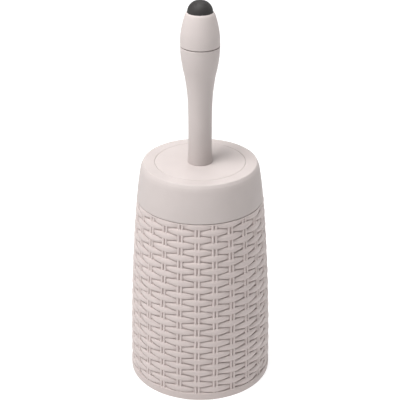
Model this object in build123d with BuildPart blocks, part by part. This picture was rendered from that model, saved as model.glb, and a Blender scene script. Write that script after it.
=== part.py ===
from build123d import *
from math import cos, radians, sin
import os

# Toilet brush holder with a lift-out brush. Sizes are in millimetres.
# The origin is the centre of the base, +Z is up and the front faces -Y.
# Every sub-part is modelled where it sits with the brush put away. From the outside in:
#   holder_shell   woven-look skirt, open below, wider at the foot than at the neck
#   drip_cup       removable liner that hangs by its flange on the skirt's neck
#   top_cap        smooth collar that sits on the liner's flange and carries the disc
#   splash_disc    loose disc in the collar's rebate, with the bearing of the brush
#   brush          handle, stem, tufted head, and the ring that holds them to the disc

os.makedirs("parts", exist_ok=True)

# Skirt: its outside is one shallow arc, and its crests of weave touch that arc.
FOOT_R = 65.2
WAIST_R = 63.05
NECK_R = 56.9
NECK_Z = 175.1
SKIRT_WALL = 2.6
LEDGE_R = 49.5
LEDGE_T = 2.6
FOOT_ROUND = 0.7
LIP_ROUND = 0.7

# Drip cup
CUP_Z = 2.5
CUP_FOOT_R = 46.0
CUP_NECK_R = 49.0
CUP_WALL = 1.6
CUP_FLOOR = 2.0
CUP_FOOT_ROUND = 7.0
FLANGE_R = 53.2
FLANGE_T = 2.0
RIM_Z = NECK_Z + FLANGE_T

# Collar cap
CAP_Z = NECK_Z + 1.0
CAP_TOP_Z = CAP_Z + 33.9
CAP_FOOT_R = 56.45
CAP_MID_R = 54.4
CAP_TOP_R = 51.75
CAP_WALL = 2.0
CAP_ROUND = 3.6
CAP_MID_Z = (CAP_Z + CAP_TOP_Z) / 2
SLEEVE_Z = NECK_Z - 6.3
SLEEVE_R = 47.0
SLEEVE_WALL = 1.6
SLEEVE_LEAD = 1.5
SLEEVE_LEAD_DEPTH = 0.3
GUSSETS = 8
GUSSET_T = 1.6
WELD = 0.5

# Splash disc and the rebate that it lies in
REBATE_R = 40.15
REBATE_ROUND = 0.5
OPENING_R = 37.0
DISC_R = 39.7
DISC_T = 2.2
DISC_Z = CAP_TOP_Z - DISC_T
DISC_ROUND = 0.6
PLATE_T = 2.2
STEP_T = 1.5
CEILING_Z = CAP_TOP_Z - PLATE_T - 0.6
HUB_R = 12.0
HUB_ROUND = 1.0
HUB_Z = CAP_TOP_Z - 12.2
LOCATING_R = 36.0
LOCATING_Z = CAP_TOP_Z - 7.7
RIB_T = 1.4
RIB_SLOPE = 2.0
DISC_RIBS = 6

# Handle: a slim neck that flares into an egg-shaped grip, split at its widest place
COLLAR_R = 10.95
COLLAR_T = 1.5
COLLAR_TOP_Z = CAP_TOP_Z + COLLAR_T
COLLAR_ROUND = 0.4
JOURNAL_R = 8.5
JOURNAL_LEAD = 0.6
RUNNING_CLEARANCE = 0.05
JOURNAL_Z = CAP_TOP_Z - 22.2
NECK_OF_HANDLE_R = 10.5
GRIP_SPLIT_Z = CAP_TOP_Z + 106.4
GRIP_R = 16.94
GRIP_WALL = 2.2
SEAM_CHAMFER = 0.5
SEAM_GAP = 0.8
SEAM_FLOOR_R = 15.4
CAVITY_Z = CAP_TOP_Z + 61.8
CAVITY_R = 8.3
# (radius, height above the cap's top) of the flaring outside and of the hollow inside
FLARE = ((10.25, 26.8), (10.67, 56.8), (12.79, 76.8), (14.87, 86.8), (16.37, 96.8))
HOLLOW = ((14.2, 96.8), (10.6, 76.8))
# (radius, height above the parting line) of the egg-shaped outside above the split
EGG = ((16.58, 10.4), (14.78, 20.4), (12.68, 27.4))
GRIP_TOP_Z = GRIP_SPLIT_Z + 29.5
PAD_RIM_R = 11.3
PAD_R = 10.9
PAD_TOP_Z = GRIP_TOP_Z + 10.1
PAD_BULGE = 0.56
PAD_SEAT_Z = GRIP_TOP_Z - 1.5
PLUG_R = 4.0
PLUG_BARB = 0.6
PLUG_LEAD = 0.5
PLUG_Z = PAD_SEAT_Z - 4.0
SPIGOT_R = 14.15
SPIGOT_Z = GRIP_SPLIT_Z - 7.6
SPIGOT_WALL = 1.8
SPIGOT_LEAD = 1.5
SPIGOT_LEAD_DEPTH = 0.4
CROWN_Z = PAD_SEAT_Z - 2.2
CROWN_R = 9.4
SHOULDER_R = 12.6
SHOULDER_Z = PAD_SEAT_Z - 8.6
SPIGOT_CEILING_Z = GRIP_SPLIT_Z + 7.4

# Retaining ring under the disc's hub
RING_T = 1.5
RING_R = 11.4
GROOVE_R = 7.7
GROOVE_Z = HUB_Z - 1.8
GROOVE_W = 1.6
RING_GAP_HALF_ANGLE = 35

# Stem and tufted head
STEM_R = 6.0
STEM_BORE_R = 3.6
STEM_Z = 52.0
STEM_TOP_Z = CAP_TOP_Z + 55.8
CORE_R = 15.0
DOME_Z = 39.0
CORE_TOP_Z = 96.0
NECK_TOP_Z = 110.0
CORE_NECK_R = 9.6
CORE_SHOULDER = 5.0
HEAD_R = 35.5
ROWS = 8
TUFTS_PER_ROW = 16
FIRST_ROW_Z = 41.5
ROW_PITCH = 7.0
HOLE_R = 1.75
HOLE_DEPTH = 4.0
TUFT_ROOT_R = 1.4
TUFT_FAN = 3.6
TUFT_SIDES = 8
# The rounded end of the head: (degrees from straight down, number of tufts, reach from the dome's centre)
END_RINGS = ((0, 1, 29.0), (30, 6, 31.8), (60, 11, 35.0))
ANCHOR_SIZE = (3.9, 0.4, 1.4)


def radial_plane(turn):
    """An upright plane through the axis: X runs outwards at turn degrees, Y runs up."""
    a = radians(turn)
    return Plane(origin=(0, 0, 0), x_dir=(cos(a), sin(a), 0), z_dir=(sin(a), -cos(a), 0))


def spoke(turn, tilt, reach, centre_z):
    """A plane facing out of the head at reach from its axis point, tilt degrees from straight down."""
    a, t = radians(turn), radians(tilt)
    out = Vector(sin(t) * cos(a), sin(t) * sin(a), -cos(t))
    side = Vector(-sin(a), cos(a), 0)
    return Plane(origin=Vector(0, 0, centre_z) + out * reach, x_dir=side, z_dir=out)


def row_turns(row):
    """The tufts of one row, every second row shifted by half a step."""
    step = 360 / TUFTS_PER_ROW
    return [step * (i + row % 2 / 2) for i in range(TUFTS_PER_ROW)]


def row_spokes(row, reach):
    """One plane per tuft of a row, at reach from the axis."""
    return [spoke(turn, 90, reach, FIRST_ROW_Z + row * ROW_PITCH) for turn in row_turns(row)]


def end_spokes(depth):
    """One plane per end tuft, depth below the dome's surface."""
    return [
        spoke(360 * i / count, tilt, CORE_R - depth, DOME_Z)
        for tilt, count, _ in END_RINGS
        for i in range(count)
    ]


# --- Skirt -----------------------------------------------------------------------

with BuildPart() as holder_shell:
    with BuildSketch(Plane.XZ) as skirt_section:
        with BuildLine():
            ThreePointArc((FOOT_R, 0), (WAIST_R, NECK_Z / 2), (NECK_R, NECK_Z))
            Polyline(
                (NECK_R, NECK_Z),
                (LEDGE_R, NECK_Z),
                (LEDGE_R, NECK_Z - LEDGE_T),
                (NECK_R - SKIRT_WALL, NECK_Z - 2 * LEDGE_T),
            )
            ThreePointArc(
                (NECK_R - SKIRT_WALL, NECK_Z - 2 * LEDGE_T),
                (WAIST_R - SKIRT_WALL, NECK_Z / 2),
                (FOOT_R - SKIRT_WALL, 0),
            )
            Line((FOOT_R - SKIRT_WALL, 0), (FOOT_R, 0))
        make_face()
        corners = skirt_section.vertices()
        foot = corners.sort_by_distance((FOOT_R, 0))[0]
        lip = corners.sort_by_distance((NECK_R, NECK_Z))[0]
        fillet(foot, FOOT_ROUND)
        fillet(lip, LIP_ROUND)
    revolve(axis=Axis.Z)
holder_shell.part.label = "holder_shell"
export_step(holder_shell.part, "parts/holder_shell.step")

# --- Drip cup ----------------------------------------------------------------------

with BuildPart() as drip_cup:
    with BuildSketch(Plane.XZ) as cup_section:
        with BuildLine():
            Polyline(
                (0, CUP_Z),
                (CUP_FOOT_R, CUP_Z),
                (CUP_NECK_R, NECK_Z),
                (FLANGE_R, NECK_Z),
                (FLANGE_R, RIM_Z),
                (CUP_NECK_R - CUP_WALL, RIM_Z),
                (CUP_FOOT_R - CUP_WALL, CUP_Z + CUP_FLOOR),
                (0, CUP_Z + CUP_FLOOR),
                close=True,
            )
        make_face()
        corners = cup_section.vertices()
        fillet(corners.sort_by_distance((CUP_FOOT_R, CUP_Z))[0], CUP_FOOT_ROUND)
        inner_foot = corners.sort_by_distance((CUP_FOOT_R - CUP_WALL, CUP_Z + CUP_FLOOR))[0]
        fillet(inner_foot, CUP_FOOT_ROUND - CUP_WALL)
    revolve(axis=Axis.Z)
drip_cup.part.label = "drip_cup"
export_step(drip_cup.part, "parts/drip_cup.step")

# --- Collar cap --------------------------------------------------------------------

SLEEVE_INNER_R = SLEEVE_R - SLEEVE_WALL
UNDERSIDE_Z = CEILING_Z - STEP_T

with BuildPart() as top_cap:
    with BuildSketch(Plane.XZ) as cap_section:
        with BuildLine():
            ThreePointArc((CAP_FOOT_R, CAP_Z), (CAP_MID_R, CAP_MID_Z), (CAP_TOP_R, CAP_TOP_Z))
            Polyline(
                (CAP_TOP_R, CAP_TOP_Z),
                (REBATE_R, CAP_TOP_Z),
                (REBATE_R, DISC_Z),
                (OPENING_R, DISC_Z),
                (OPENING_R, DISC_Z - PLATE_T),
                (REBATE_R + PLATE_T, DISC_Z - PLATE_T),
                (REBATE_R + PLATE_T, CEILING_Z),
                (SLEEVE_INNER_R, CEILING_Z),
                (SLEEVE_INNER_R, SLEEVE_Z),
                (SLEEVE_R - SLEEVE_LEAD_DEPTH, SLEEVE_Z),
                (SLEEVE_R, SLEEVE_Z + SLEEVE_LEAD),
                (SLEEVE_R, UNDERSIDE_Z),
                (CAP_TOP_R - CAP_WALL, UNDERSIDE_Z),
            )
            ThreePointArc(
                (CAP_TOP_R - CAP_WALL, UNDERSIDE_Z),
                (CAP_MID_R - CAP_WALL, CAP_MID_Z),
                (CAP_FOOT_R - CAP_WALL, CAP_Z),
            )
            Line((CAP_FOOT_R - CAP_WALL, CAP_Z), (CAP_FOOT_R, CAP_Z))
        make_face()
        corners = cap_section.vertices()
        fillet(corners.sort_by_distance((CAP_TOP_R, CAP_TOP_Z))[0], CAP_ROUND)
        fillet(corners.sort_by_distance((CAP_FOOT_R, CAP_Z))[0], LIP_ROUND)
        fillet(corners.sort_by_distance((REBATE_R, CAP_TOP_Z))[0], REBATE_ROUND)
    revolve(axis=Axis.Z)
    for i in range(GUSSETS):
        with BuildSketch(radial_plane(360 / GUSSETS * (i + 0.5))):
            Polygon(
                (SLEEVE_R - WELD, RIM_Z),
                (CAP_FOOT_R - CAP_WALL + WELD, RIM_Z),
                (CAP_MID_R - CAP_WALL + WELD, CAP_MID_Z),
                (CAP_TOP_R - CAP_WALL + WELD, CEILING_Z),
                (SLEEVE_R - WELD, CEILING_Z),
                align=None,
            )
        extrude(amount=GUSSET_T / 2, both=True)
top_cap.part.label = "top_cap"
export_step(top_cap.part, "parts/top_cap.step")

# --- Splash disc --------------------------------------------------------------------

with BuildPart() as splash_disc:
    with BuildSketch(Plane.XZ) as disc_section:
        with BuildLine():
            Polyline(
                (JOURNAL_R + RUNNING_CLEARANCE, CAP_TOP_Z),
                (DISC_R, CAP_TOP_Z),
                (DISC_R, DISC_Z),
                (LOCATING_R, DISC_Z),
                (LOCATING_R, LOCATING_Z),
                (LOCATING_R - RIB_T, LOCATING_Z),
                (LOCATING_R - RIB_T, DISC_Z),
                (HUB_R, DISC_Z),
                (HUB_R, HUB_Z),
                (JOURNAL_R + RUNNING_CLEARANCE, HUB_Z),
                close=True,
            )
        make_face()
        corners = disc_section.vertices()
        fillet(corners.sort_by_distance((DISC_R, CAP_TOP_Z))[0], DISC_ROUND)
        fillet(corners.sort_by_distance((HUB_R, DISC_Z))[0], HUB_ROUND)
    revolve(axis=Axis.Z)
    for i in range(DISC_RIBS):
        with BuildSketch(radial_plane(360 / DISC_RIBS * (i + 0.5))):
            Polygon(
                (HUB_R - WELD, LOCATING_Z),
                (LOCATING_R - WELD, LOCATING_Z + RIB_SLOPE),
                (LOCATING_R - WELD, DISC_Z + WELD),
                (HUB_R - WELD, DISC_Z + WELD),
                align=None,
            )
        extrude(amount=RIB_T / 2, both=True)
splash_disc.part.label = "splash_disc"
export_step(splash_disc.part, "parts/splash_disc.step")

# --- Handle -------------------------------------------------------------------------

with BuildPart() as handle:
    with BuildSketch(Plane.XZ) as handle_section:
        with BuildLine():
            Polyline(
                (STEM_R, JOURNAL_Z),
                (JOURNAL_R - JOURNAL_LEAD, JOURNAL_Z),
                (JOURNAL_R, JOURNAL_Z + JOURNAL_LEAD),
                (JOURNAL_R, GROOVE_Z),
                (GROOVE_R, GROOVE_Z),
                (GROOVE_R, GROOVE_Z + GROOVE_W),
                (JOURNAL_R, GROOVE_Z + GROOVE_W),
                (JOURNAL_R, CAP_TOP_Z),
                (COLLAR_R, CAP_TOP_Z),
                (COLLAR_R, COLLAR_TOP_Z),
                (NECK_OF_HANDLE_R, COLLAR_TOP_Z),
            )
            Spline(
                (NECK_OF_HANDLE_R, COLLAR_TOP_Z),
                *[(r, CAP_TOP_Z + h) for r, h in FLARE],
                (GRIP_R, GRIP_SPLIT_Z - SEAM_CHAMFER),
                tangents=[(-0.01, 1), (0.02, 1)],
            )
            Polyline(
                (GRIP_R, GRIP_SPLIT_Z - SEAM_CHAMFER),
                (GRIP_R - SEAM_CHAMFER, GRIP_SPLIT_Z),
                (GRIP_R - GRIP_WALL, GRIP_SPLIT_Z),
            )
            Spline(
                (GRIP_R - GRIP_WALL, GRIP_SPLIT_Z),
                *[(r, CAP_TOP_Z + h) for r, h in HOLLOW],
                (CAVITY_R, CAVITY_Z),
                tangents=[(-0.01, -1), (-0.1, -1)],
            )
            Polyline((CAVITY_R, CAVITY_Z), (STEM_R, CAVITY_Z), (STEM_R, JOURNAL_Z))
        make_face()
        collar_edge = handle_section.vertices().sort_by_distance((COLLAR_R, COLLAR_TOP_Z))[0]
        fillet(collar_edge, COLLAR_ROUND)
    revolve(axis=Axis.Z)
handle.part.label = "handle"
export_step(handle.part, "parts/handle.step")

# --- Grip top: closes the hollow handle and carries the pad; a shadow gap marks the split ---

with BuildPart() as grip_top:
    with BuildSketch(Plane.XZ):
        with BuildLine():
            Polyline(
                (SPIGOT_R, GRIP_SPLIT_Z),
                (SEAM_FLOOR_R, GRIP_SPLIT_Z),
                (SEAM_FLOOR_R, GRIP_SPLIT_Z + SEAM_GAP),
                (GRIP_R, GRIP_SPLIT_Z + SEAM_GAP),
            )
            Spline(
                (GRIP_R, GRIP_SPLIT_Z + SEAM_GAP),
                *[(r, GRIP_SPLIT_Z + h) for r, h in EGG],
                (PAD_RIM_R, GRIP_TOP_Z),
                tangents=[(0, 1), (-0.85, 1)],
            )
            Polyline(
                (PAD_RIM_R, GRIP_TOP_Z),
                (PAD_RIM_R, PAD_SEAT_Z),
                (PLUG_R, PAD_SEAT_Z),
                (PLUG_R, CROWN_Z),
                (CROWN_R, CROWN_Z),
                (SHOULDER_R, SHOULDER_Z),
                (SPIGOT_R - SPIGOT_WALL, SPIGOT_CEILING_Z),
                (SPIGOT_R - SPIGOT_WALL, SPIGOT_Z),
                (SPIGOT_R - SPIGOT_LEAD_DEPTH, SPIGOT_Z),
                (SPIGOT_R, SPIGOT_Z + SPIGOT_LEAD),
                (SPIGOT_R, GRIP_SPLIT_Z),
            )
        make_face()
    revolve(axis=Axis.Z)
grip_top.part.label = "grip_top"
export_step(grip_top.part, "parts/grip_top.step")

# --- Grip pad: a soft dome with a plug that snaps into the grip top -------------------

with BuildPart() as grip_pad:
    with BuildSketch(Plane.XZ):
        with BuildLine():
            Polyline(
                (0, PAD_TOP_Z),
                (0, PLUG_Z),
                (PLUG_R - PLUG_LEAD, PLUG_Z),
                (PLUG_R + PLUG_BARB, CROWN_Z - 1),
                (PLUG_R + PLUG_BARB, CROWN_Z),
                (PLUG_R, CROWN_Z),
                (PLUG_R, PAD_SEAT_Z),
                (PAD_R, PAD_SEAT_Z),
                (PAD_R, GRIP_TOP_Z),
            )
            Bezier(
                (PAD_R, GRIP_TOP_Z),
                (PAD_R, GRIP_TOP_Z + PAD_BULGE * (PAD_TOP_Z - GRIP_TOP_Z)),
                (PAD_BULGE * PAD_R, PAD_TOP_Z),
                (0, PAD_TOP_Z),
            )
        make_face()
    revolve(axis=Axis.Z)
grip_pad.part.label = "grip_pad"
export_step(grip_pad.part, "parts/grip_pad.step")

# --- Retaining ring: an open spring ring in the journal's groove ----------------------

with BuildPart() as retaining_ring:
    with BuildSketch(Plane.XY.offset(GROOVE_Z + (GROOVE_W - RING_T) / 2)):
        Circle(RING_R)
        Circle(GROOVE_R, mode=Mode.SUBTRACT)
        with Locations((0, RING_R)):
            Rectangle(2 * GROOVE_R * sin(radians(RING_GAP_HALF_ANGLE)), RING_R, mode=Mode.SUBTRACT)
    extrude(amount=RING_T)
retaining_ring.part.label = "retaining_ring"
export_step(retaining_ring.part, "parts/retaining_ring.step")

# --- Stem -----------------------------------------------------------------------------

with BuildPart() as stem:
    with BuildSketch(Plane.XY.offset(STEM_Z)):
        Circle(STEM_R)
        Circle(STEM_BORE_R, mode=Mode.SUBTRACT)
    extrude(amount=STEM_TOP_Z - STEM_Z)
stem.part.label = "stem"
export_step(stem.part, "parts/stem.step")

# --- Head core: a domed plug drilled for its tufts --------------------------------------

with BuildPart() as head_core:
    with BuildSketch(Plane.XZ):
        with BuildLine():
            CenterArc((0, DOME_Z), CORE_R, start_angle=-90, arc_size=90)
            Polyline(
                (CORE_R, DOME_Z),
                (CORE_R, CORE_TOP_Z),
                (CORE_NECK_R, CORE_TOP_Z + CORE_SHOULDER),
                (CORE_NECK_R, NECK_TOP_Z),
                (STEM_R, NECK_TOP_Z),
                (STEM_R, STEM_Z),
                (0, STEM_Z),
                (0, DOME_Z - CORE_R),
            )
        make_face()
    revolve(axis=Axis.Z)
    drilled = [p for row in range(ROWS) for p in row_spokes(row, CORE_R - HOLE_DEPTH)]
    drilled += end_spokes(HOLE_DEPTH)
    with Locations(*drilled):
        Cylinder(
            HOLE_R,
            2 * HOLE_DEPTH,
            align=(Align.CENTER, Align.CENTER, Align.MIN),
            mode=Mode.SUBTRACT,
        )
head_core.part.label = "head_core"
export_step(head_core.part, "parts/head_core.step")

# --- Tufts: each row is a group of separate bundles that fan out to the head's outside ---

for row in range(ROWS):
    with BuildPart() as tuft_row:
        with BuildSketch(*row_spokes(row, CORE_R - HOLE_DEPTH)):
            RegularPolygon(TUFT_ROOT_R, TUFT_SIDES)
        extrude(amount=HEAD_R - CORE_R + HOLE_DEPTH, taper=-TUFT_FAN)
    tuft_row.part.label = f"tuft_row_{row + 1}"
    export_step(tuft_row.part, f"parts/tuft_row_{row + 1}.step")

with BuildPart() as end_tufts:
    for tilt, count, reach in END_RINGS:
        turns = [360 * i / count for i in range(count)]
        with BuildSketch(*[spoke(turn, tilt, CORE_R - HOLE_DEPTH, DOME_Z) for turn in turns]):
            RegularPolygon(TUFT_ROOT_R, TUFT_SIDES)
        extrude(amount=reach - CORE_R + HOLE_DEPTH, taper=-TUFT_FAN)
end_tufts.part.label = "end_tufts"
export_step(end_tufts.part, "parts/end_tufts.step")

# --- Tuft anchors: one flat wire across the bottom of every hole --------------------------

with BuildPart() as tuft_anchors:
    with Locations(*drilled):
        Box(*ANCHOR_SIZE, align=(Align.CENTER, Align.CENTER, Align.MIN))
tuft_anchors.part.label = "tuft_anchors"
export_step(tuft_anchors.part, "parts/tuft_anchors.step")
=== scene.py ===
"""Toilet brush holder: the woven skirt, the smooth pieces, the bristles and every material."""

import math

import bpy
import numpy as np
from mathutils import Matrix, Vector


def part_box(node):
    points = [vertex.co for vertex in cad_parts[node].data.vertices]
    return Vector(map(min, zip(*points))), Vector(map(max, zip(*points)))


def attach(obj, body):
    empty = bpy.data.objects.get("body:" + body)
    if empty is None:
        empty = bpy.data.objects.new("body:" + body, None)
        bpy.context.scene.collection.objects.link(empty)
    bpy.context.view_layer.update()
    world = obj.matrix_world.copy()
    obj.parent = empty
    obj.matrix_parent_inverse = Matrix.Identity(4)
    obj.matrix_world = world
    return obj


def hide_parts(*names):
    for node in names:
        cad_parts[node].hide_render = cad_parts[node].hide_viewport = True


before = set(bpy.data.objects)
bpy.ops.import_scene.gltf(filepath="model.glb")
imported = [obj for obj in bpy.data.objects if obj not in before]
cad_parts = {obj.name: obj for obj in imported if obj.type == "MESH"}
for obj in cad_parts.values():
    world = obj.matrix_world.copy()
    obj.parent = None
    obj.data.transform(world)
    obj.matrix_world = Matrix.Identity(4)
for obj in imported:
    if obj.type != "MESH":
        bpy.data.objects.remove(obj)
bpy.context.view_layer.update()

MM = 0.001
TURN = 2 * math.pi
rng = np.random.default_rng(7)

# --- Driving sizes, in millimetres, read from the frame ---------------------------------


def low_high(node):
    """A CAD node's lowest and highest corners in millimetres."""
    low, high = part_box(node)
    return np.array(low) / MM, np.array(high) / MM


SKIRT_HIGH = low_high("holder_shell")[1]
CAP_LOW, CAP_HIGH = low_high("top_cap")
DISC_LOW = low_high("splash_disc")[0]
HANDLE_HIGH = low_high("handle")[1]
GRIP_TOP_HIGH = low_high("grip_top")[1]
PAD_LOW, PAD_HIGH = low_high("grip_pad")

FOOT_R = SKIRT_HIGH[0]
NECK_Z = SKIRT_HIGH[2]
CAP_FOOT_R = CAP_HIGH[0]
NECK_R = CAP_FOOT_R + 0.45
WAIST_BULGE = 2.0
SKIRT_WALL = 2.6
SKIRT_STEPS = 260
WALL_STEPS = 24
LEDGE_R = 49.5
LEDGE_T = 2.6

# The weave: upright stakes of two ribs each, and strands that pass over every second one.
# A power above 2 keeps a form full before it falls away at its edges.
STAKES = 24
STAKE_STEP = TURN / STAKES
FIRST_STAKE = math.radians(-92.4)
ROWS = 28
ROW_PITCH = 6.033
FIRST_ROW_Z = 10.6
RIM_TOP_Z = 7.1
LIP_RISE = 0.5
WEAVE_TOP_Z = NECK_Z + LIP_RISE
WALL_DEPTH = 1.9
RIB_DEPTH = 0.42
RIB_WIDTH = 2.7
RIB_SPACING = 3.15
RIB_POWER = 3.4
RIB_SWAY = 0.05
RIB_SECTION = 9
RIB_STEPS = 58
STRAND_HALF_WIDTH = 2.9
STRAND_END_SHARE = 0.5
STRAND_TAPER_POWER = 3.2
STRAND_REACH = 0.9
STRAND_DIVE = 1.5
STRAND_DIVE_POWER = 2.3
STRAND_CROWN = 0.75
STRAND_CROWN_POWER = 2.6
STRAND_SECTION = 13
STRAND_STEPS = 16
# How much one strand differs from the next: its height, its tilt, its width and its two flutes
STRAND_RISE_SPREAD = 0.07
STRAND_TILT_SPREAD = 0.12
STRAND_WIDTH_SPREAD = 0.025
FLUTE_DEPTHS = (0.03, 0.075)
GRAIN_R = 60
ROOT_DEPTH = WALL_DEPTH + 0.4


def skirt_radius(z):
    """The radius of the skirt's crests at height z."""
    t = np.asarray(z, float) / NECK_Z
    return FOOT_R + (NECK_R - FOOT_R) * t + 4 * WAIST_BULGE * t * (1 - t)


# --- Camera -----------------------------------------------------------------------------

camera_data = bpy.data.cameras.new("camera")
camera_data.sensor_width = 36
camera_data.lens = 105.1
camera_data.clip_end = 50
camera = bpy.data.objects.new("camera", camera_data)
camera.location = (-0.0001, -0.9366, 0.6385)
camera.rotation_euler = (math.radians(63.5), 0, 0)
bpy.context.scene.collection.objects.link(camera)
bpy.context.scene.camera = camera

# --- Studio -----------------------------------------------------------------------------

FLOOR_SIZE = 40.0
FLOOR_GREY = 0.4
# (metres from the object, glow) of the floor, and (height as a share, grey) of the room's light
FLOOR_GLOW = ((0.9, 0.75), (1.8, 1.04))
ROOM_GREY = ((0.05, 1.02), (0.3, 0.03))
TARGET = np.array([0, 0, 0.16])
LIGHT_DISTANCE = 1.7
# (name, azimuth, elevation, size in metres, watts)
LIGHTS = (
    ("key", -45, 72, 0.55, 14.6),
    ("key_low", -45, 50, 0.55, 6.6),
    ("side_fill", -75, 50, 0.55, 8.6),
    ("overhead", -45, 88, 0.8, 15.8),
    ("right_rim", 125, 30, 0.55, 4),
    ("back_fill", 180, 40, 0.55, 4.1),
)


def area_light(name, azimuth, elevation, size, watts):
    """A square soft light; azimuth is degrees from -Y towards +X."""
    a, e = math.radians(azimuth), math.radians(elevation)
    way = np.array([math.sin(a) * math.cos(e), -math.cos(a) * math.cos(e), math.sin(e)])
    data = bpy.data.lights.new(name, "AREA")
    data.shape = "SQUARE"
    data.size = size
    data.energy = watts
    light = bpy.data.objects.new(name, data)
    light.location = TARGET + way * LIGHT_DISTANCE
    light.rotation_euler = (math.pi / 2 - e, 0, a)
    bpy.context.scene.collection.objects.link(light)


def room():
    """White light from the horizon that fades to near black overhead."""
    world = bpy.data.worlds.new("room")
    world.use_nodes = True
    tree = world.node_tree
    sky = tree.nodes.new("ShaderNodeTexCoord")
    height = tree.nodes.new("ShaderNodeSeparateXYZ")
    fade = tree.nodes.new("ShaderNodeValToRGB")
    for end, (position, grey) in zip(fade.color_ramp.elements, ROOM_GREY):
        end.position = position
        end.color = (grey, grey, grey, 1)
    tree.links.new(sky.outputs["Generated"], height.inputs["Vector"])
    tree.links.new(height.outputs["Z"], fade.inputs["Fac"])
    tree.links.new(fade.outputs["Color"], tree.nodes["Background"].inputs["Color"])
    return world


def floor_paint():
    """Matt paint that glows more with distance from the object, in metres."""
    paint = bpy.data.materials.new("floor_paint")
    paint.use_nodes = True
    tree = paint.node_tree
    shader = tree.nodes["Principled BSDF"]
    shader.inputs["Base Color"].default_value = (FLOOR_GREY, FLOOR_GREY, FLOOR_GREY, 1)
    shader.inputs["Roughness"].default_value = 0.9
    shader.inputs["Emission Color"].default_value = (1, 1, 1, 1)
    spot = tree.nodes.new("ShaderNodeTexCoord")
    reach = tree.nodes.new("ShaderNodeVectorMath")
    reach.operation = "LENGTH"
    glow = tree.nodes.new("ShaderNodeMapRange")
    for end, (distance, strength) in zip(("Min", "Max"), FLOOR_GLOW):
        glow.inputs[f"From {end}"].default_value = distance
        glow.inputs[f"To {end}"].default_value = strength
    tree.links.new(spot.outputs["Object"], reach.inputs[0])
    tree.links.new(reach.outputs["Value"], glow.inputs["Value"])
    tree.links.new(glow.outputs["Result"], shader.inputs["Emission Strength"])
    return paint


def floor():
    """A wide flat floor at the foot of the object."""
    half = FLOOR_SIZE / 2
    corners = [(-half, -half, 0), (half, -half, 0), (half, half, 0), (-half, half, 0)]
    data = bpy.data.meshes.new("floor")
    data.from_pydata(corners, [], [(0, 1, 2, 3)])
    data.materials.append(floor_paint())
    ground = bpy.data.objects.new("floor", data)
    bpy.context.scene.collection.objects.link(ground)


bpy.context.scene.view_settings.view_transform = "Standard"
bpy.context.scene.world = room()
for light_row in LIGHTS:
    area_light(*light_row)
floor()

# --- Materials --------------------------------------------------------------------------


class Nodes:
    """Short calls for building one material's node tree."""

    def __init__(self, name):
        self.material = bpy.data.materials.new(name)
        self.material.use_nodes = True
        self.tree = self.material.node_tree
        self.shader = self.tree.nodes["Principled BSDF"]

    def add(self, kind, **settings):
        node = self.tree.nodes.new(kind)
        for key, value in settings.items():
            setattr(node, key, value)
        return node

    def link(self, out, socket):
        self.tree.links.new(out, socket)

    def constant(self, **values):
        for key, value in values.items():
            self.shader.inputs[key.replace("_", " ")].default_value = value

    def place(self, scale, attribute=None):
        """Object coordinates, or a named vector on the mesh, times scale."""
        if attribute:
            source = self.add("ShaderNodeAttribute", attribute_name=attribute).outputs["Vector"]
        else:
            source = self.add("ShaderNodeTexCoord").outputs["Object"]
        mapping = self.add("ShaderNodeMapping")
        mapping.inputs["Scale"].default_value = scale
        self.link(source, mapping.inputs["Vector"])
        return mapping.outputs["Vector"]

    def noise(self, place, scale=1.0, detail=3.0, roughness=0.55):
        node = self.add("ShaderNodeTexNoise")
        node.inputs["Scale"].default_value = scale
        node.inputs["Detail"].default_value = detail
        node.inputs["Roughness"].default_value = roughness
        self.link(place, node.inputs["Vector"])
        return node.outputs["Fac"]

    def ramp(self, value, low, high, start=0.3, end=0.7):
        """value between start and end becomes a colour between low and high."""
        node = self.add("ShaderNodeValToRGB")
        ends = node.color_ramp.elements
        ends[0].position, ends[1].position = start, end
        ends[0].color = (*low, 1)
        ends[1].color = (*high, 1)
        self.link(value, node.inputs["Fac"])
        return node.outputs["Color"]

    def spread(self, value, low, high):
        """value from 0.3 to 0.7 becomes a number from low to high."""
        node = self.add("ShaderNodeMapRange")
        node.inputs["From Min"].default_value = 0.3
        node.inputs["From Max"].default_value = 0.7
        node.inputs["To Min"].default_value = low
        node.inputs["To Max"].default_value = high
        self.link(value, node.inputs["Value"])
        return node.outputs["Result"]

    def bump(self, height, distance, strength=1.0, below=None):
        node = self.add("ShaderNodeBump")
        node.inputs["Distance"].default_value = distance
        node.inputs["Strength"].default_value = strength
        self.link(height, node.inputs["Height"])
        if below is not None:
            self.link(below, node.inputs["Normal"])
        return node.outputs["Normal"]


def tinted(colour, share):
    """colour made lighter or darker by share."""
    return tuple(min(1.0, c * (1 + share)) for c in colour)


GREIGE = (0.50, 0.447, 0.432)
WARM_GREIGE = (0.50, 0.434, 0.417)
LINER = (0.44, 0.40, 0.37)
IVORY = (0.60, 0.59, 0.56)
CHARCOAL = (0.0235, 0.0215, 0.021)


def moulded_plastic(name, colour, rough=(0.54, 0.64), grain=0.00002):
    """Satin moulded plastic: faint flow clouds in its colour and a fine skin."""
    m = Nodes(name)
    clouds = m.noise(m.place((1, 1, 1)), 38, 4)
    skin = m.noise(m.place((1, 1, 1)), 2600, 2)
    m.link(m.ramp(clouds, tinted(colour, -0.025), tinted(colour, 0.025)), m.shader.inputs["Base Color"])
    m.link(m.spread(skin, *rough), m.shader.inputs["Roughness"])
    m.link(m.bump(skin, grain, 0.5), m.shader.inputs["Normal"])
    m.constant(Specular_IOR_Level=0.3)
    return m.material


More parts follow.
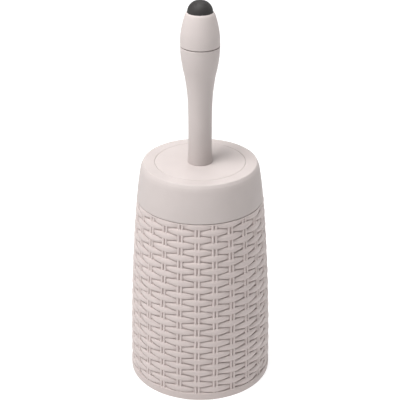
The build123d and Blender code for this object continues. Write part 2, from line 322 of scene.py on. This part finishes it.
def woven_plastic(name, colour, stretch):
    """Moulded rattan: grain runs along each strand or rib, by the mesh's own 'grain' vector."""
    m = Nodes(name)
    fibres = m.noise(m.place(stretch, "grain"), 1.0, 4, 0.6)
    clouds = m.noise(m.place((1, 1, 1)), 60, 4)
    tone = m.add("ShaderNodeMix", data_type="RGBA", blend_type="MULTIPLY")
    tone.inputs["Factor"].default_value = 1.0
    m.link(m.ramp(clouds, tinted(colour, -0.03), tinted(colour, 0.03)), tone.inputs["A"])
    m.link(m.ramp(fibres, (0.93, 0.93, 0.93), (1, 1, 1)), tone.inputs["B"])
    m.link(tone.outputs["Result"], m.shader.inputs["Base Color"])
    m.link(m.spread(fibres, 0.42, 0.56), m.shader.inputs["Roughness"])
    m.link(m.bump(fibres, 0.00012, 0.8), m.shader.inputs["Normal"])
    m.constant(Specular_IOR_Level=0.4)
    return m.material


def soft_touch(name, colour):
    """Matt rubbery skin with a fine even grain."""
    m = Nodes(name)
    skin = m.noise(m.place((1, 1, 1)), 1800, 3)
    wear = m.noise(m.place((1, 1, 1)), 90, 3)
    m.link(m.ramp(wear, tinted(colour, -0.12), tinted(colour, 0.15)), m.shader.inputs["Base Color"])
    m.link(m.spread(skin, 0.55, 0.72), m.shader.inputs["Roughness"])
    m.link(m.bump(skin, 0.00004, 0.6), m.shader.inputs["Normal"])
    m.constant(Specular_IOR_Level=0.35)
    return m.material


def bristle_nylon(name):
    """White nylon filament, a little uneven from bundle to bundle."""
    m = Nodes(name)
    bundles = m.noise(m.place((1, 1, 1)), 160, 3)
    m.link(m.ramp(bundles, (0.68, 0.667, 0.65), (0.8, 0.786, 0.77)), m.shader.inputs["Base Color"])
    m.link(m.spread(bundles, 0.32, 0.48), m.shader.inputs["Roughness"])
    m.constant(Specular_IOR_Level=0.5)
    return m.material


def drawn_wire(name):
    """Drawn brass wire."""
    m = Nodes(name)
    lines = m.noise(m.place((1, 1, 8)), 900, 2)
    m.link(m.ramp(lines, (0.55, 0.42, 0.2), (0.72, 0.58, 0.32)), m.shader.inputs["Base Color"])
    m.link(m.spread(lines, 0.25, 0.42), m.shader.inputs["Roughness"])
    m.constant(Metallic=1.0)
    return m.material


SMOOTH = moulded_plastic("smooth_plastic_look", GREIGE)
DISC_LOOK = moulded_plastic("disc_plastic_look", tinted(GREIGE, 0.03))
LINER_LOOK = moulded_plastic("liner_plastic_look", LINER, (0.4, 0.52))
CORE_LOOK = moulded_plastic("core_plastic_look", IVORY, (0.3, 0.42))
RING_LOOK = moulded_plastic("ring_plastic_look", (0.05, 0.05, 0.05), (0.35, 0.5))
# Strands and ribs are the same plastic as the smooth pieces, painted 13% and 17% lighter: painted light
# that makes up for the shade the woven relief casts on itself, the ribs more for the shade of the strands
# around them.
STRAND_LOOK = woven_plastic("strand_painted_light_look", tinted(WARM_GREIGE, 0.13), (0.12, 2.6, 1.7))
RIB_LOOK = woven_plastic("rib_painted_light_look", tinted(WARM_GREIGE, 0.17), (2.6, 0.12, 1.7))
WALL_LOOK = moulded_plastic("skirt_wall_look", tinted(WARM_GREIGE, 0.05), (0.45, 0.6))
PAD_LOOK = soft_touch("soft_pad_look", CHARCOAL)
BRISTLE_LOOK = bristle_nylon("bristle_look")
WIRE_LOOK = drawn_wire("anchor_wire_look")

# --- Mesh helpers -----------------------------------------------------------------------

SHARP_ANGLE = math.radians(38)


def piece(name, points, faces, material, body, node=None, grain=None):
    """One visible piece from points in millimetres; it rides on body and stands for node."""
    data = bpy.data.meshes.new(name)
    data.from_pydata((np.asarray(points) * MM).tolist(), [], faces)
    data.polygons.foreach_set("use_smooth", np.ones(len(data.polygons), bool))
    data.set_sharp_from_angle(angle=SHARP_ANGLE)
    if grain is not None:
        layer = data.attributes.new("grain", "FLOAT_VECTOR", "POINT")
        layer.data.foreach_set("vector", np.asarray(grain, np.float32).ravel())
    data.materials.append(material)
    made = bpy.data.objects.new(name, data)
    bpy.context.scene.collection.objects.link(made)
    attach(made, body)
    if node:
        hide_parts(node)
    return made


def rounded(corners, steps=5):
    """A path through (r, z, radius) corners, each turned by an arc of that radius."""
    path = []
    for i, (r, z, radius) in enumerate(corners):
        here = np.array([r, z], float)
        if radius == 0 or i in (0, len(corners) - 1):
            path.append(here)
            continue
        back = np.array(corners[i - 1][:2], float) - here
        on = np.array(corners[i + 1][:2], float) - here
        back /= np.linalg.norm(back)
        on /= np.linalg.norm(on)
        half = math.acos(np.clip(back @ on, -1, 1)) / 2
        centre = here + (back + on) / np.linalg.norm(back + on) * radius / math.sin(half)
        first = here + back * radius / math.tan(half) - centre
        last = here + on * radius / math.tan(half) - centre
        start = math.atan2(first[1], first[0])
        sweep = (math.atan2(last[1], last[0]) - start + math.pi) % TURN - math.pi
        for k in range(steps + 1):
            a = start + sweep * k / steps
            path.append(centre + radius * np.array([math.cos(a), math.sin(a)]))
    return path


def lathe(profile, segments=192):
    """Points and faces of a closed profile turned about Z; a corner at r = 0 is one point."""
    points, faces, rings = [], [], []
    angles = np.arange(segments) * TURN / segments
    for r, z in profile:
        if r < 1e-6:
            rings.append([len(points)])
            points.append((0, 0, z))
        else:
            rings.append(list(range(len(points), len(points) + segments)))
            points.extend(zip(r * np.cos(angles), r * np.sin(angles), [z] * segments))
    for i, ring in enumerate(rings):
        after = rings[(i + 1) % len(rings)]
        if len(ring) == 1 and len(after) == 1:
            continue
        for k in range(segments):
            n = (k + 1) % segments
            if len(ring) == 1:
                faces.append((ring[0], after[n], after[k]))
            elif len(after) == 1:
                faces.append((ring[k], ring[n], after[0]))
            else:
                faces.append((ring[k], ring[n], after[n], after[k]))
    return points, faces


def smooth_curve(knots, count):
    """A Catmull-Rom curve through (r, z) knots."""
    knots = np.array(knots, float)
    ends = np.vstack([2 * knots[0] - knots[1], knots, 2 * knots[-1] - knots[-2]])
    path = []
    for i in range(len(knots) - 1):
        a, b, c, d = ends[i : i + 4]
        for t in np.arange(count) / count:
            square = (2 * a - 5 * b + 4 * c - d) * t**2
            cube = (3 * b - a - 3 * c + d) * t**3
            path.append(0.5 * (2 * b + (c - a) * t + square + cube))
    path.append(knots[-1])
    return path


# --- The woven skirt --------------------------------------------------------------------


def wall_radius(z):
    """The radius of the wall behind the weave at height z."""
    return float(skirt_radius(z)) - WALL_DEPTH


def skirt_wall():
    """The wall behind the weave, with the plain rim at the foot and the ledge at the neck."""
    base = RIM_TOP_Z + 0.5
    outside = [
        (FOOT_R - 2.2, 0, 0),
        (FOOT_R - 0.02, 0, 0.7),
        (float(skirt_radius(RIM_TOP_Z)), RIM_TOP_Z, 0.6),
        (wall_radius(base), base, 0.3),
        (wall_radius(base + 2), base + 2, 0),
    ]
    path = rounded(outside)
    path += [np.array([wall_radius(z), z]) for z in np.linspace(base + 8, NECK_Z - 1.6, WALL_STEPS)]
    neck = [
        (wall_radius(NECK_Z - 1.6), NECK_Z - 1.6, 0),
        (NECK_R - 0.5, NECK_Z - 1.0, 0.2),
        (NECK_R - 0.5, WEAVE_TOP_Z, 0.3),
        (NECK_R - 2.6, WEAVE_TOP_Z, 0.3),
        (NECK_R - 2.6, NECK_Z, 0.1),
        (LEDGE_R, NECK_Z, 0.3),
        (LEDGE_R, NECK_Z - LEDGE_T, 0.3),
        (NECK_R - SKIRT_WALL, NECK_Z - 2 * LEDGE_T, 0),
    ]
    path += rounded(neck)[1:]
    for z in np.linspace(NECK_Z - 2 * LEDGE_T - 6, 0, WALL_STEPS):
        path.append(np.array([float(skirt_radius(z)) - SKIRT_WALL, z]))
    points, faces = lathe(path, SKIRT_STEPS)
    piece("skirt_wall", points, faces, WALL_LOOK, "holder", "holder_shell")


def on_skirt(angle, z, depth):
    """A point at depth below the skirt's crests."""
    r = skirt_radius(z) - depth
    return np.stack([r * np.cos(angle), r * np.sin(angle), z + 0 * r], axis=-1)


def grid_faces(rows, columns, start):
    """Quads of closed loops of points, one loop per row, with both ends capped."""
    faces = []
    for i in range(rows - 1):
        a, b = start + i * columns, start + (i + 1) * columns
        for k in range(columns):
            n = (k + 1) % columns
            faces.append((a + k, a + n, b + n, b + k))
    faces.append(tuple(start + k for k in reversed(range(columns))))
    faces.append(tuple(start + (rows - 1) * columns + k for k in range(columns)))
    return faces


def skirt_ribs():
    """Two half-round ribs per stake, from the foot rim to the neck."""
    across = np.linspace(-1, 1, RIB_SECTION)
    heights = np.linspace(RIM_TOP_Z - 0.2, WEAVE_TOP_Z - 0.3, RIB_STEPS)
    points, faces, grain = [], [], []
    for stake in range(STAKES):
        for side in (-1, 1):
            rib = stake * 2 + side
            sway = rng.normal(0, RIB_SWAY, 4)
            start = len(points)
            for z in heights:
                r = float(skirt_radius(z))
                drift = sway[0] * math.sin(z / 17 + sway[1] * 30)
                drift += sway[2] * math.sin(z / 41 + sway[3] * 30)
                centre = FIRST_STAKE + stake * STAKE_STEP + (side * RIB_SPACING / 2 + drift) / r
                rise = (WALL_DEPTH - RIB_DEPTH) * (1 - np.abs(across) ** RIB_POWER)
                angle = centre + across * RIB_WIDTH / 2 / r
                loop = on_skirt(angle, np.full(RIB_SECTION, z), WALL_DEPTH + 0.1 - rise * 1.1)
                root = centre + np.array([0.5, -0.5]) * RIB_WIDTH / r
                base = on_skirt(root, np.full(2, z), ROOT_DEPTH)
                points.extend(np.vstack([loop, base]))
                grain.extend([(c * RIB_WIDTH / 2, z, rib) for c in across] + [(0, z, rib)] * 2)
            faces += grid_faces(RIB_STEPS, RIB_SECTION + 2, start)
    piece("skirt_ribs", points, faces, RIB_LOOK, "holder", grain=grain)


def skirt_strands():
    """The strands: crowned bands, each over one stake and under the stakes on both sides of it."""
    along = np.sin(np.linspace(-1, 1, STRAND_STEPS) * math.pi / 2)
    across = np.sin(np.linspace(-1, 1, STRAND_SECTION) * math.pi / 2)
    points, faces, grain = [], [], []
    for row in range(ROWS):
        for stake in range((row + 1) % 2, STAKES, 2):
            z0 = FIRST_ROW_Z + row * ROW_PITCH + rng.normal(0, STRAND_RISE_SPREAD)
            tilt = rng.normal(0, STRAND_TILT_SPREAD)
            fat = 1 + rng.normal(0, STRAND_WIDTH_SPREAD)
            flutes = rng.uniform(0, TURN, 3)
            flute_depth = rng.uniform(*FLUTE_DEPTHS, 2)
            centre = FIRST_STAKE + stake * STAKE_STEP
            start = len(points)
            for u in along:
                share = abs(u) ** STRAND_TAPER_POWER
                half = STRAND_HALF_WIDTH * fat * (1 - (1 - STRAND_END_SHARE) * share)
                dive = STRAND_DIVE * abs(u) ** STRAND_DIVE_POWER
                crown = STRAND_CROWN * np.abs(across) ** STRAND_CROWN_POWER
                bend = flute_depth[0] * np.sin(across * 4.2 + flutes[0] + u * 0.8)
                bend += flute_depth[1] * np.sin(across * 8.5 + flutes[1] - u * 0.6)
                bend *= 1 - across**4
                z = np.minimum(z0 + tilt * u + across * half, WEAVE_TOP_Z - 0.1)
                angle = np.full(STRAND_SECTION, centre + u * STRAND_REACH * STAKE_STEP)
                loop = on_skirt(angle, z, np.maximum(dive + crown + bend, 0))
                low_z = z0 + tilt * u + np.array([1, -1]) * half * 0.96
                low_z = np.minimum(low_z, WEAVE_TOP_Z - 0.2)
                low = on_skirt(angle[:2], low_z, np.full(2, ROOT_DEPTH))
                points.extend(np.vstack([loop, low]))
                length = u * STRAND_REACH * STAKE_STEP * GRAIN_R
                tag = row * STAKES + stake
                grain.extend([(length, c * half, tag) for c in across] + [(length, 0, tag)] * 2)
            faces += grid_faces(STRAND_STEPS, STRAND_SECTION + 2, start)
    piece("skirt_strands", points, faces, STRAND_LOOK, "holder", grain=grain)


skirt_wall()
skirt_ribs()
skirt_strands()

# --- Smooth turned pieces ---------------------------------------------------------------

TOP = CAP_HIGH[2]
CAP_EDGE_Z = TOP - 33.9
CAP_MID_R = CAP_FOOT_R - 2.05
CAP_TOP_R = CAP_FOOT_R - 4.7
CAP_MID_Z = (CAP_EDGE_Z + TOP) / 2
REBATE_R = 40.12
OPENING_R = 37.0
DISC_R = 40.0
DISC_T = 2.2
PLATE_T = 2.2
DISC_Z = TOP - DISC_T
CEILING_Z = TOP - PLATE_T - 0.6
SLEEVE_R = 47.0
HUB_R = 12.0
LOCATING_R = 36.0
LOCATING_Z = TOP - 7.7
HANDLE_FOOT_R = 11.1
JOURNAL_R = 8.5
BORE_R = 8.55
GROOVE_Z = DISC_LOW[2] - 1.8
STEM_R = 6.0
SPLIT_Z = HANDLE_HIGH[2]
GRIP_R = HANDLE_HIGH[0]
GRIP_TOP_Z = GRIP_TOP_HIGH[2]
PAD_TOP_Z = PAD_HIGH[2]
PAD_R = PAD_HIGH[0]
DOME_PULL = 0.56
# (radius, height above the cap's top) of the handle's foot and flare, then
# (radius, height above the parting gap) of the egg-shaped top
HANDLE_FOOT = ((11.0, 1.2), (10.82, 2.6), (10.68, 4.4), (10.59, 6.4), (10.54, 8.6))
FLARE = ((10.5, 1.9), (10.25, 26.8), (10.67, 56.8), (12.79, 76.8), (14.87, 86.8), (16.37, 96.8))
EGG = ((16.58, 10.4), (14.78, 20.4), (12.68, 27.4))
CAVITY_Z = TOP + 61.8
CUP_LOW, CUP_HIGH = low_high("drip_cup")
CUP_Z = CUP_LOW[2]
CUP_WALL = 1.6
CUP_FOOT_R = 46.0
CUP_NECK_R = 49.0
FLANGE_R = 53.2
FLANGE_T = 2.0
GUSSETS = 8
DISC_RIBS = 6


def blade(turn, outline, thickness):
    """Points and faces of a flat upright plate, its (r, z) outline at turn radians."""
    way = np.array([math.cos(turn), math.sin(turn), 0])
    side = np.array([-math.sin(turn), math.cos(turn), 0]) * thickness / 2
    flat = [way * r + np.array([0, 0, z]) for r, z in outline]
    count = len(flat)
    points = [p + side for p in flat] + [p - side for p in flat]
    faces = [tuple(range(count)), tuple(reversed(range(count, 2 * count)))]
    faces += [(k, count + k, count + (k + 1) % count, (k + 1) % count) for k in range(count)]
    return points, faces


def turned(name, corners, material, body, node, blades=(), segments=192, steps=6):
    """A lathed piece through (r, z, radius) corners, with flat plates joined on."""
    path = rounded(list(corners) + [corners[0]], steps)[:-1]
    points, faces = lathe(path, segments)
    for turn, outline, thickness in blades:
        start = len(points)
        more_points, more_faces = blade(turn, outline, thickness)
        points.extend(more_points)
        faces.extend(tuple(start + k for k in face) for face in more_faces)
    return piece(name, points, faces, material, body, node)


def bare(path):
    """Corners with no rounding."""
    return [(float(r), float(z), 0) for r, z in path]


def collar():
    """The smooth collar: skirt, rounded shoulder, flat top with its rebate, and the inner sleeve."""
    side = smooth_curve([(CAP_FOOT_R, CAP_EDGE_Z), (CAP_MID_R, CAP_MID_Z), (CAP_TOP_R, TOP)], 10)
    corners = [(CAP_FOOT_R - 1.0, CAP_EDGE_Z, 0), (CAP_FOOT_R, CAP_EDGE_Z, 0.35)]
    corners += bare(side[2:-3])
    corners += [
        (CAP_TOP_R - 0.05, TOP - 2.7, 0.35),
        (CAP_TOP_R - 1.5, TOP, 1.3),
        (REBATE_R, TOP, 0.3),
        (REBATE_R, DISC_Z, 0.15),
        (OPENING_R, DISC_Z, 0.3),
        (OPENING_R, DISC_Z - PLATE_T, 0.3),
        (REBATE_R + PLATE_T, DISC_Z - PLATE_T, 0.3),
        (REBATE_R + PLATE_T, CEILING_Z, 0.3),
        (SLEEVE_R - 1.6, CEILING_Z, 0.5),
        (SLEEVE_R - 1.6, CAP_LOW[2], 0.3),
        (SLEEVE_R, CAP_LOW[2], 0.5),
        (SLEEVE_R, CEILING_Z - 1.5, 0.5),
        (CAP_TOP_R - 2, CEILING_Z - 1.5, 0.5),
        (CAP_MID_R - 2, CAP_MID_Z, 0),
        (CAP_FOOT_R - 2, CAP_EDGE_Z, 0.3),
    ]
    gusset = [
        (SLEEVE_R - 0.3, NECK_Z + 2.0),
        (CAP_FOOT_R - 1.7, NECK_Z + 2.0),
        (CAP_MID_R - 1.7, CAP_MID_Z),
        (CAP_TOP_R - 1.7, CEILING_Z - 1),
        (SLEEVE_R - 0.3, CEILING_Z - 1),
    ]
    gussets = [(TURN * (i + 0.5) / GUSSETS, gusset, 1.6) for i in range(GUSSETS)]
    turned("collar", corners, SMOOTH, "cap", "top_cap", gussets, 256, 8)


def disc():
    """The splash disc: plate with a fine rounded edge, hub, locating ring and six ribs below."""
    corners = [
        (BORE_R, TOP, 0.2),
        (DISC_R, TOP, 0.4),
        (DISC_R, DISC_Z, 0.3),
        (LOCATING_R, DISC_Z, 0.3),
        (LOCATING_R, LOCATING_Z, 0.4),
        (LOCATING_R - 1.4, LOCATING_Z, 0.4),
        (LOCATING_R - 1.4, DISC_Z, 0.6),
        (HUB_R, DISC_Z, 1.0),
        (HUB_R, DISC_LOW[2], 0.4),
        (BORE_R, DISC_LOW[2], 0.3),
    ]
    rib = [
        (HUB_R - 0.4, LOCATING_Z),
        (LOCATING_R - 1, LOCATING_Z + 2),
        (LOCATING_R - 1, DISC_Z + 0.3),
        (HUB_R - 0.4, DISC_Z + 0.3),
    ]
    ribs = [(TURN * (i + 0.5) / DISC_RIBS, rib, 1.4) for i in range(DISC_RIBS)]
    turned("disc", corners, DISC_LOOK, "disc", "splash_disc", ribs, 256)


def grip_lower():
    """The handle: journal, flared foot, slim neck, and the flare up to the parting gap."""
    flare = smooth_curve([(r, TOP + h) for r, h in FLARE] + [(GRIP_R, SPLIT_Z - 0.6)], 12)
    corners = [
        (STEM_R, DISC_LOW[2] - 10, 0),
        (JOURNAL_R, DISC_LOW[2] - 10, 0.6),
        (JOURNAL_R, GROOVE_Z, 0.1),
        (JOURNAL_R - 0.8, GROOVE_Z, 0.1),
        (JOURNAL_R - 0.8, GROOVE_Z + 1.6, 0.1),
        (JOURNAL_R, GROOVE_Z + 1.6, 0.1),
        (JOURNAL_R, TOP + 0.05, 0.1),
        (HANDLE_FOOT_R, TOP + 0.05, 0.3),
    ]
    corners += bare([(r, TOP + h) for r, h in HANDLE_FOOT])
    corners += bare([point for point in flare if point[1] > TOP + 10])
    corners += [
        (GRIP_R, SPLIT_Z, 0.55),
        (GRIP_R - 2.2, SPLIT_Z, 0.2),
        (14.2, TOP + 96.8, 3),
        (10.6, TOP + 76.8, 5),
        (8.3, CAVITY_Z, 0.5),
        (STEM_R, CAVITY_Z, 0.2),
    ]
    turned("grip_lower", corners, SMOOTH, "brush", "handle")


def grip_upper():
    """The egg-shaped top of the grip, with the shadow gap at its foot and the seat of the pad."""
    knots = [(GRIP_R, SPLIT_Z + 1.1)] + [(r, SPLIT_Z + h) for r, h in EGG] + [(PAD_R + 0.4, GRIP_TOP_Z)]
    egg = smooth_curve(knots, 10)
    corners = [
        (14.15, SPLIT_Z, 0.1),
        (15.4, SPLIT_Z + 0.02, 0.1),
        (15.4, SPLIT_Z + 0.8, 0.1),
        (GRIP_R, SPLIT_Z + 0.8, 0.25),
    ]
    corners += bare(egg[:-1])
    corners += [
        (PAD_R + 0.4, GRIP_TOP_Z, 0.15),
        (PAD_R + 0.05, GRIP_TOP_Z, 0.1),
        (PAD_R + 0.05, PAD_LOW[2] + 4.0, 0.1),
        (4.0, PAD_LOW[2] + 4.0, 0.1),
        (4.0, PAD_LOW[2] + 1.8, 0.1),
        (9.4, PAD_LOW[2] + 1.8, 0.5),
        (12.35, SPLIT_Z + 7.4, 3),
        (12.35, SPLIT_Z - 7.6, 0.2),
        (14.15, SPLIT_Z - 7.6, 0.5),
    ]
    turned("grip_upper", corners, SMOOTH, "brush", "grip_top")


def soft_pad():
    """The dark dome on the grip, its foot tucked just inside the rim."""
    rise = PAD_TOP_Z - GRIP_TOP_Z
    hull = np.array([(PAD_R, 0), (PAD_R, DOME_PULL * rise), (DOME_PULL * PAD_R, rise), (0, rise)])
    dome = []
    for t in np.linspace(0, 1, 20):
        weights = np.array([(1 - t) ** 3, 3 * t * (1 - t) ** 2, 3 * t * t * (1 - t), t**3])
        r, z = weights @ hull
        dome.append((r, GRIP_TOP_Z + z))
    corners = [
        (0, PAD_LOW[2], 0),
        (3.5, PAD_LOW[2], 0.2),
        (4.6, PAD_LOW[2] + 0.8, 0.2),
        (4.6, PAD_LOW[2] + 1.75, 0.2),
        (3.95, PAD_LOW[2] + 1.8, 0.05),
        (3.95, PAD_LOW[2] + 4.05, 0.05),
        (PAD_R - 0.25, PAD_LOW[2] + 4.05, 0.2),
        (PAD_R - 0.25, GRIP_TOP_Z + 0.1, 0.2),
    ]
    corners += bare(dome)
    turned("soft_pad", corners, PAD_LOOK, "brush", "grip_pad", segments=128)


def cup():
    """The drip cup: rolled foot, two faint stacking lines, and the flange that it hangs by."""
    slope = (CUP_HIGH[2] - CUP_Z) / (CUP_NECK_R - CUP_FOOT_R)
    lines = []
    for z in (NECK_Z - 20, NECK_Z - 14):
        r = CUP_FOOT_R + (z - CUP_Z) / slope
        lines += [(r, z - 0.8, 0.3), (r + 0.5, z, 0.4), (r + 0.02, z + 0.8, 0.3)]
    corners = [
        (0, CUP_Z + 1.0, 0),
        (CUP_FOOT_R - 8, CUP_Z + 1.0, 1),
        (CUP_FOOT_R - 6.5, CUP_Z, 0.8),
        (CUP_FOOT_R, CUP_Z, 6.4),
    ]
    corners += lines
    corners += [
        (CUP_NECK_R, NECK_Z, 0.4),
        (FLANGE_R, NECK_Z, 0.4),
        (FLANGE_R, NECK_Z + FLANGE_T, 0.7),
        (CUP_NECK_R - CUP_WALL, NECK_Z + FLANGE_T, 0.8),
        (CUP_FOOT_R - CUP_WALL, CUP_Z + 2, 5.4),
        (0, CUP_Z + 2.6, 0),
    ]
    turned("cup", corners, LINER_LOOK, "cup", "drip_cup", segments=220)


collar()
disc()
grip_lower()
grip_upper()
soft_pad()
cup()

# --- Bristles ---------------------------------------------------------------------------

TUFTS_PER_ROW = 16
TUFT_ROWS = 8
FILAMENTS = 38
FILAMENT_R = 0.21
FILAMENT_SWAY = 0.5
# (share of the length, share of the thickness) of each section of a filament
FILAMENT_SECTIONS = ((0, 1), (0.4, 1), (0.75, 1), (1, 0.75))
TUFT_ROOT_R = 1.3
TUFT_TIP_R = 4.4
END_TIP_R = 6.0
HEAD_R = 35.5
CORE_R = 15.0
ROOT_R = CORE_R - 1.5
DOME_Z = 39.0
TUFT_ROW_Z = 41.5
TUFT_PITCH = 7.0
# The rounded end: (degrees from straight down, number of tufts, reach from the dome's centre)
END_RINGS = ((0, 1, 29.0), (30, 6, 31.8), (60, 11, 35.0))
GOLDEN = math.pi * (3 - math.sqrt(5))


def filaments(origin, out, side, reach, tip):
    """One tuft: fine filaments that fan out from the hole, each a little bent and its own length."""
    up = np.cross(out, side)
    index = np.arange(FILAMENTS)
    radius = np.sqrt((index + 0.5) / FILAMENTS)
    angle = index * GOLDEN + rng.uniform(0, TURN)
    spot = np.stack([np.cos(angle), np.sin(angle)], 1) * radius[:, None]
    sway = rng.normal(0, FILAMENT_SWAY, (FILAMENTS, 2))
    length = reach - ROOT_R - np.abs(rng.normal(0, 0.45, FILAMENTS)) - 0.9 * radius**2
    points, faces = [], []
    corner = np.arange(3) * TURN / 3
    for i in range(FILAMENTS):
        twist = rng.uniform(0, TURN)
        for t, slim in FILAMENT_SECTIONS:
            across = spot[i] * (TUFT_ROOT_R + (tip - TUFT_ROOT_R) * t**1.25) + sway[i] * t**2
            middle = origin + out * (ROOT_R + length[i] * t) + side * across[0] + up * across[1]
            for c in corner + twist:
                points.append(middle + (side * math.cos(c) + up * math.sin(c)) * FILAMENT_R * slim)
        start = i * 3 * len(FILAMENT_SECTIONS)
        for ring in range(len(FILAMENT_SECTIONS) - 1):
            a = start + ring * 3
            for k in range(3):
                n = (k + 1) % 3
                faces.append((a + k, a + n, a + 3 + n, a + 3 + k))
        faces.append((start + 2, start + 1, start))
        faces.append((start + 9, start + 10, start + 11))
    return points, faces


def bristles(name, tufts, node):
    """All the tufts of one row, as (origin, out, side, reach, tip radius) each."""
    points, faces = [], []
    for tuft in tufts:
        start = len(points)
        more_points, more_faces = filaments(*tuft)
        points.extend(more_points)
        faces.extend(tuple(start + k for k in face) for face in more_faces)
    piece(name, points, faces, BRISTLE_LOOK, "brush", node)


def spoke(turn, tilt):
    """The outward and sideways directions at turn radians, tilt radians from straight down."""
    out = np.array([math.sin(tilt) * math.cos(turn), math.sin(tilt) * math.sin(turn), -math.cos(tilt)])
    return out, np.array([-math.sin(turn), math.cos(turn), 0])


for row in range(TUFT_ROWS):
    origin = np.array([0, 0, TUFT_ROW_Z + row * TUFT_PITCH])
    turns = [TURN / TUFTS_PER_ROW * (i + row % 2 / 2) for i in range(TUFTS_PER_ROW)]
    around = [(origin, *spoke(turn, math.pi / 2), HEAD_R, TUFT_TIP_R) for turn in turns]
    bristles(f"bristles_row_{row + 1}", around, f"tuft_row_{row + 1}")

dome = np.array([0, 0, DOME_Z])
below = [
    (dome, *spoke(TURN * i / count, math.radians(tilt)), reach, END_TIP_R)
    for tilt, count, reach in END_RINGS
    for i in range(count)
]
bristles("bristles_end", below, "end_tufts")

# --- Finishes of the CAD nodes that show as they are ------------------------------------

LOOKS = {"retaining_ring": RING_LOOK, "stem": CORE_LOOK, "head_core": CORE_LOOK, "tuft_anchors": WIRE_LOOK}
for node, look in LOOKS.items():
    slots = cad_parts[node].data.materials
    slots.clear()
    slots.append(look)
